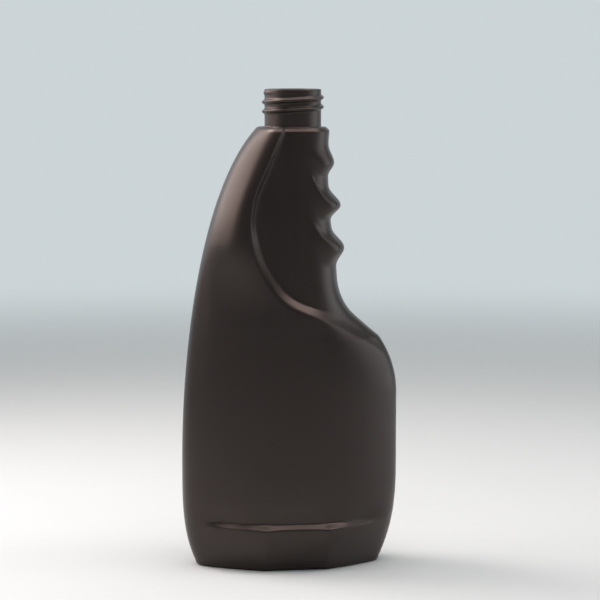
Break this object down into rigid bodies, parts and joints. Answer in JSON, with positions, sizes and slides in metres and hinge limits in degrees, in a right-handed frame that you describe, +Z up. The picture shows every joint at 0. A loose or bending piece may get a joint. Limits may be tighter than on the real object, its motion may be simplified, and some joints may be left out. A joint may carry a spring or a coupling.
{
  "type": "trigger spray bottle body",
  "caption": "Blow-moulded bottle with a pistol grip: curved spine, recessed grip sides with finger hollows, faceted heel band and an open screw neck.",
  "frame": {"origin": "middle of the standing ring, on the surface that the bottle stands on", "axes": "+Z up to the neck, +X from the spine towards the finger side, mould parting plane at y = 0"},
  "size_m": [0.0984, 0.0544, 0.216],
  "materials": {
    "hdpe": "satin, blow-moulded, black-brown"
  },
  "bodies": {
    "root": {"bottle": "hdpe"}
  },
  "joints": []
}
